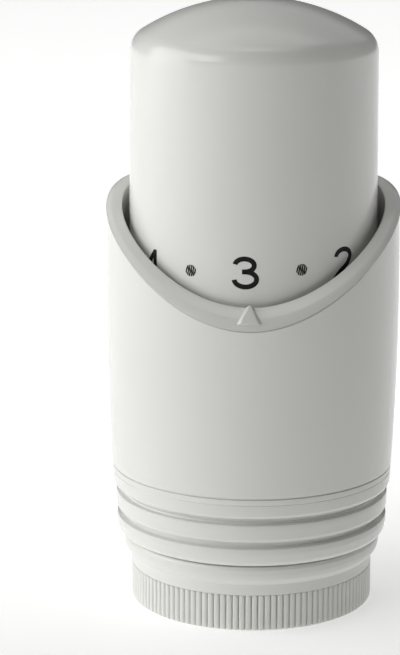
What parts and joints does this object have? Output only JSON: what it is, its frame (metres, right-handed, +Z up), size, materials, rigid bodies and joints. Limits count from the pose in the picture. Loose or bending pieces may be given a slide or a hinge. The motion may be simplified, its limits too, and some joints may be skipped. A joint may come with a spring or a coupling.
{
  "type": "thermostatic radiator valve head",
  "caption": "Radiator thermostat head with a domed turning cap, pointer sleeve, knurled union nut and a liquid sensor that moves a plunger.",
  "frame": {"origin": "centre of the bottom face of the union nut, which is the bottom centre of the whole head", "axes": "+Z up along the screw axis from the valve to the dome; the pointer is on -Y"},
  "size_m": [0.045, 0.045, 0.0938],
  "materials": {
    "white_plastic": "glossy white moulded ABS",
    "inner_plastic": "satin natural acetal",
    "dark_plastic": "satin black glass-filled nylon",
    "spring_steel": "plain spring steel",
    "can_metal": "drawn aluminium",
    "brass": "turned brass",
    "bellows_brass": "formed tombac",
    "copper": "drawn copper tube",
    "rubber": "black nitrile rubber"
  },
  "bodies": {
    "base": {"base_body": "inner_plastic", "outer_sleeve": "white_plastic", "nut_snap_ring": "spring_steel", "guide_bush": "brass", "friction_ring": "rubber", "stop_ring": "dark_plastic"},
    "nut": {"union_nut": "white_plastic"},
    "holder": {"sensor_holder": "dark_plastic", "spring_cover": "dark_plastic", "overload_spring": "spring_steel"},
    "cap": {"hand_cap": "white_plastic", "threaded_carrier": "inner_plastic", "slip_washer": "spring_steel", "holder_circlip": "spring_steel"},
    "sensor": {"sensor_can": "can_metal", "spring_washer": "spring_steel", "filling_stub": "copper", "sensor_end_plate": "brass", "sensor_bellows": "bellows_brass"},
    "foot": {"plunger": "dark_plastic", "push_rod": "brass", "bellows_crown": "bellows_brass"}
  },
  "joints": [
    {"name": "nut_spin", "type": "hinge", "parent": "base", "child": "nut", "pos_m": [0, 0, 0.005], "axis": [0, 0, 1], "continuous": true},
    {"name": "cap_lift", "type": "slide", "parent": "base", "child": "holder", "axis": [0, 0, 1], "range_m": [-0.00171, 0.00086]},
    {"name": "cap_turn", "type": "hinge", "parent": "holder", "child": "cap", "pos_m": [0, 0, 0.05], "axis": [0, 0, 1], "range_deg": [-204, 102]},
    {"name": "overtravel", "type": "slide", "parent": "holder", "child": "sensor", "axis": [0, 0, 1], "range_m": [0, 0.003], "stiffness_N_per_m": 6000, "springref_m": -0.0125, "deforming": ["overload_spring"]},
    {"name": "rod_travel", "type": "slide", "parent": "sensor", "child": "foot", "axis": [0, 0, 1], "range_m": [0, 0.003], "stiffness_N_per_m": 1500, "springref_m": -0.002, "deforming": ["sensor_bellows"]}
  ],
  "couplings": [
    {"joint": "cap_lift", "follows": "cap_turn", "m_per_rad": 0.00047746}
  ]
}
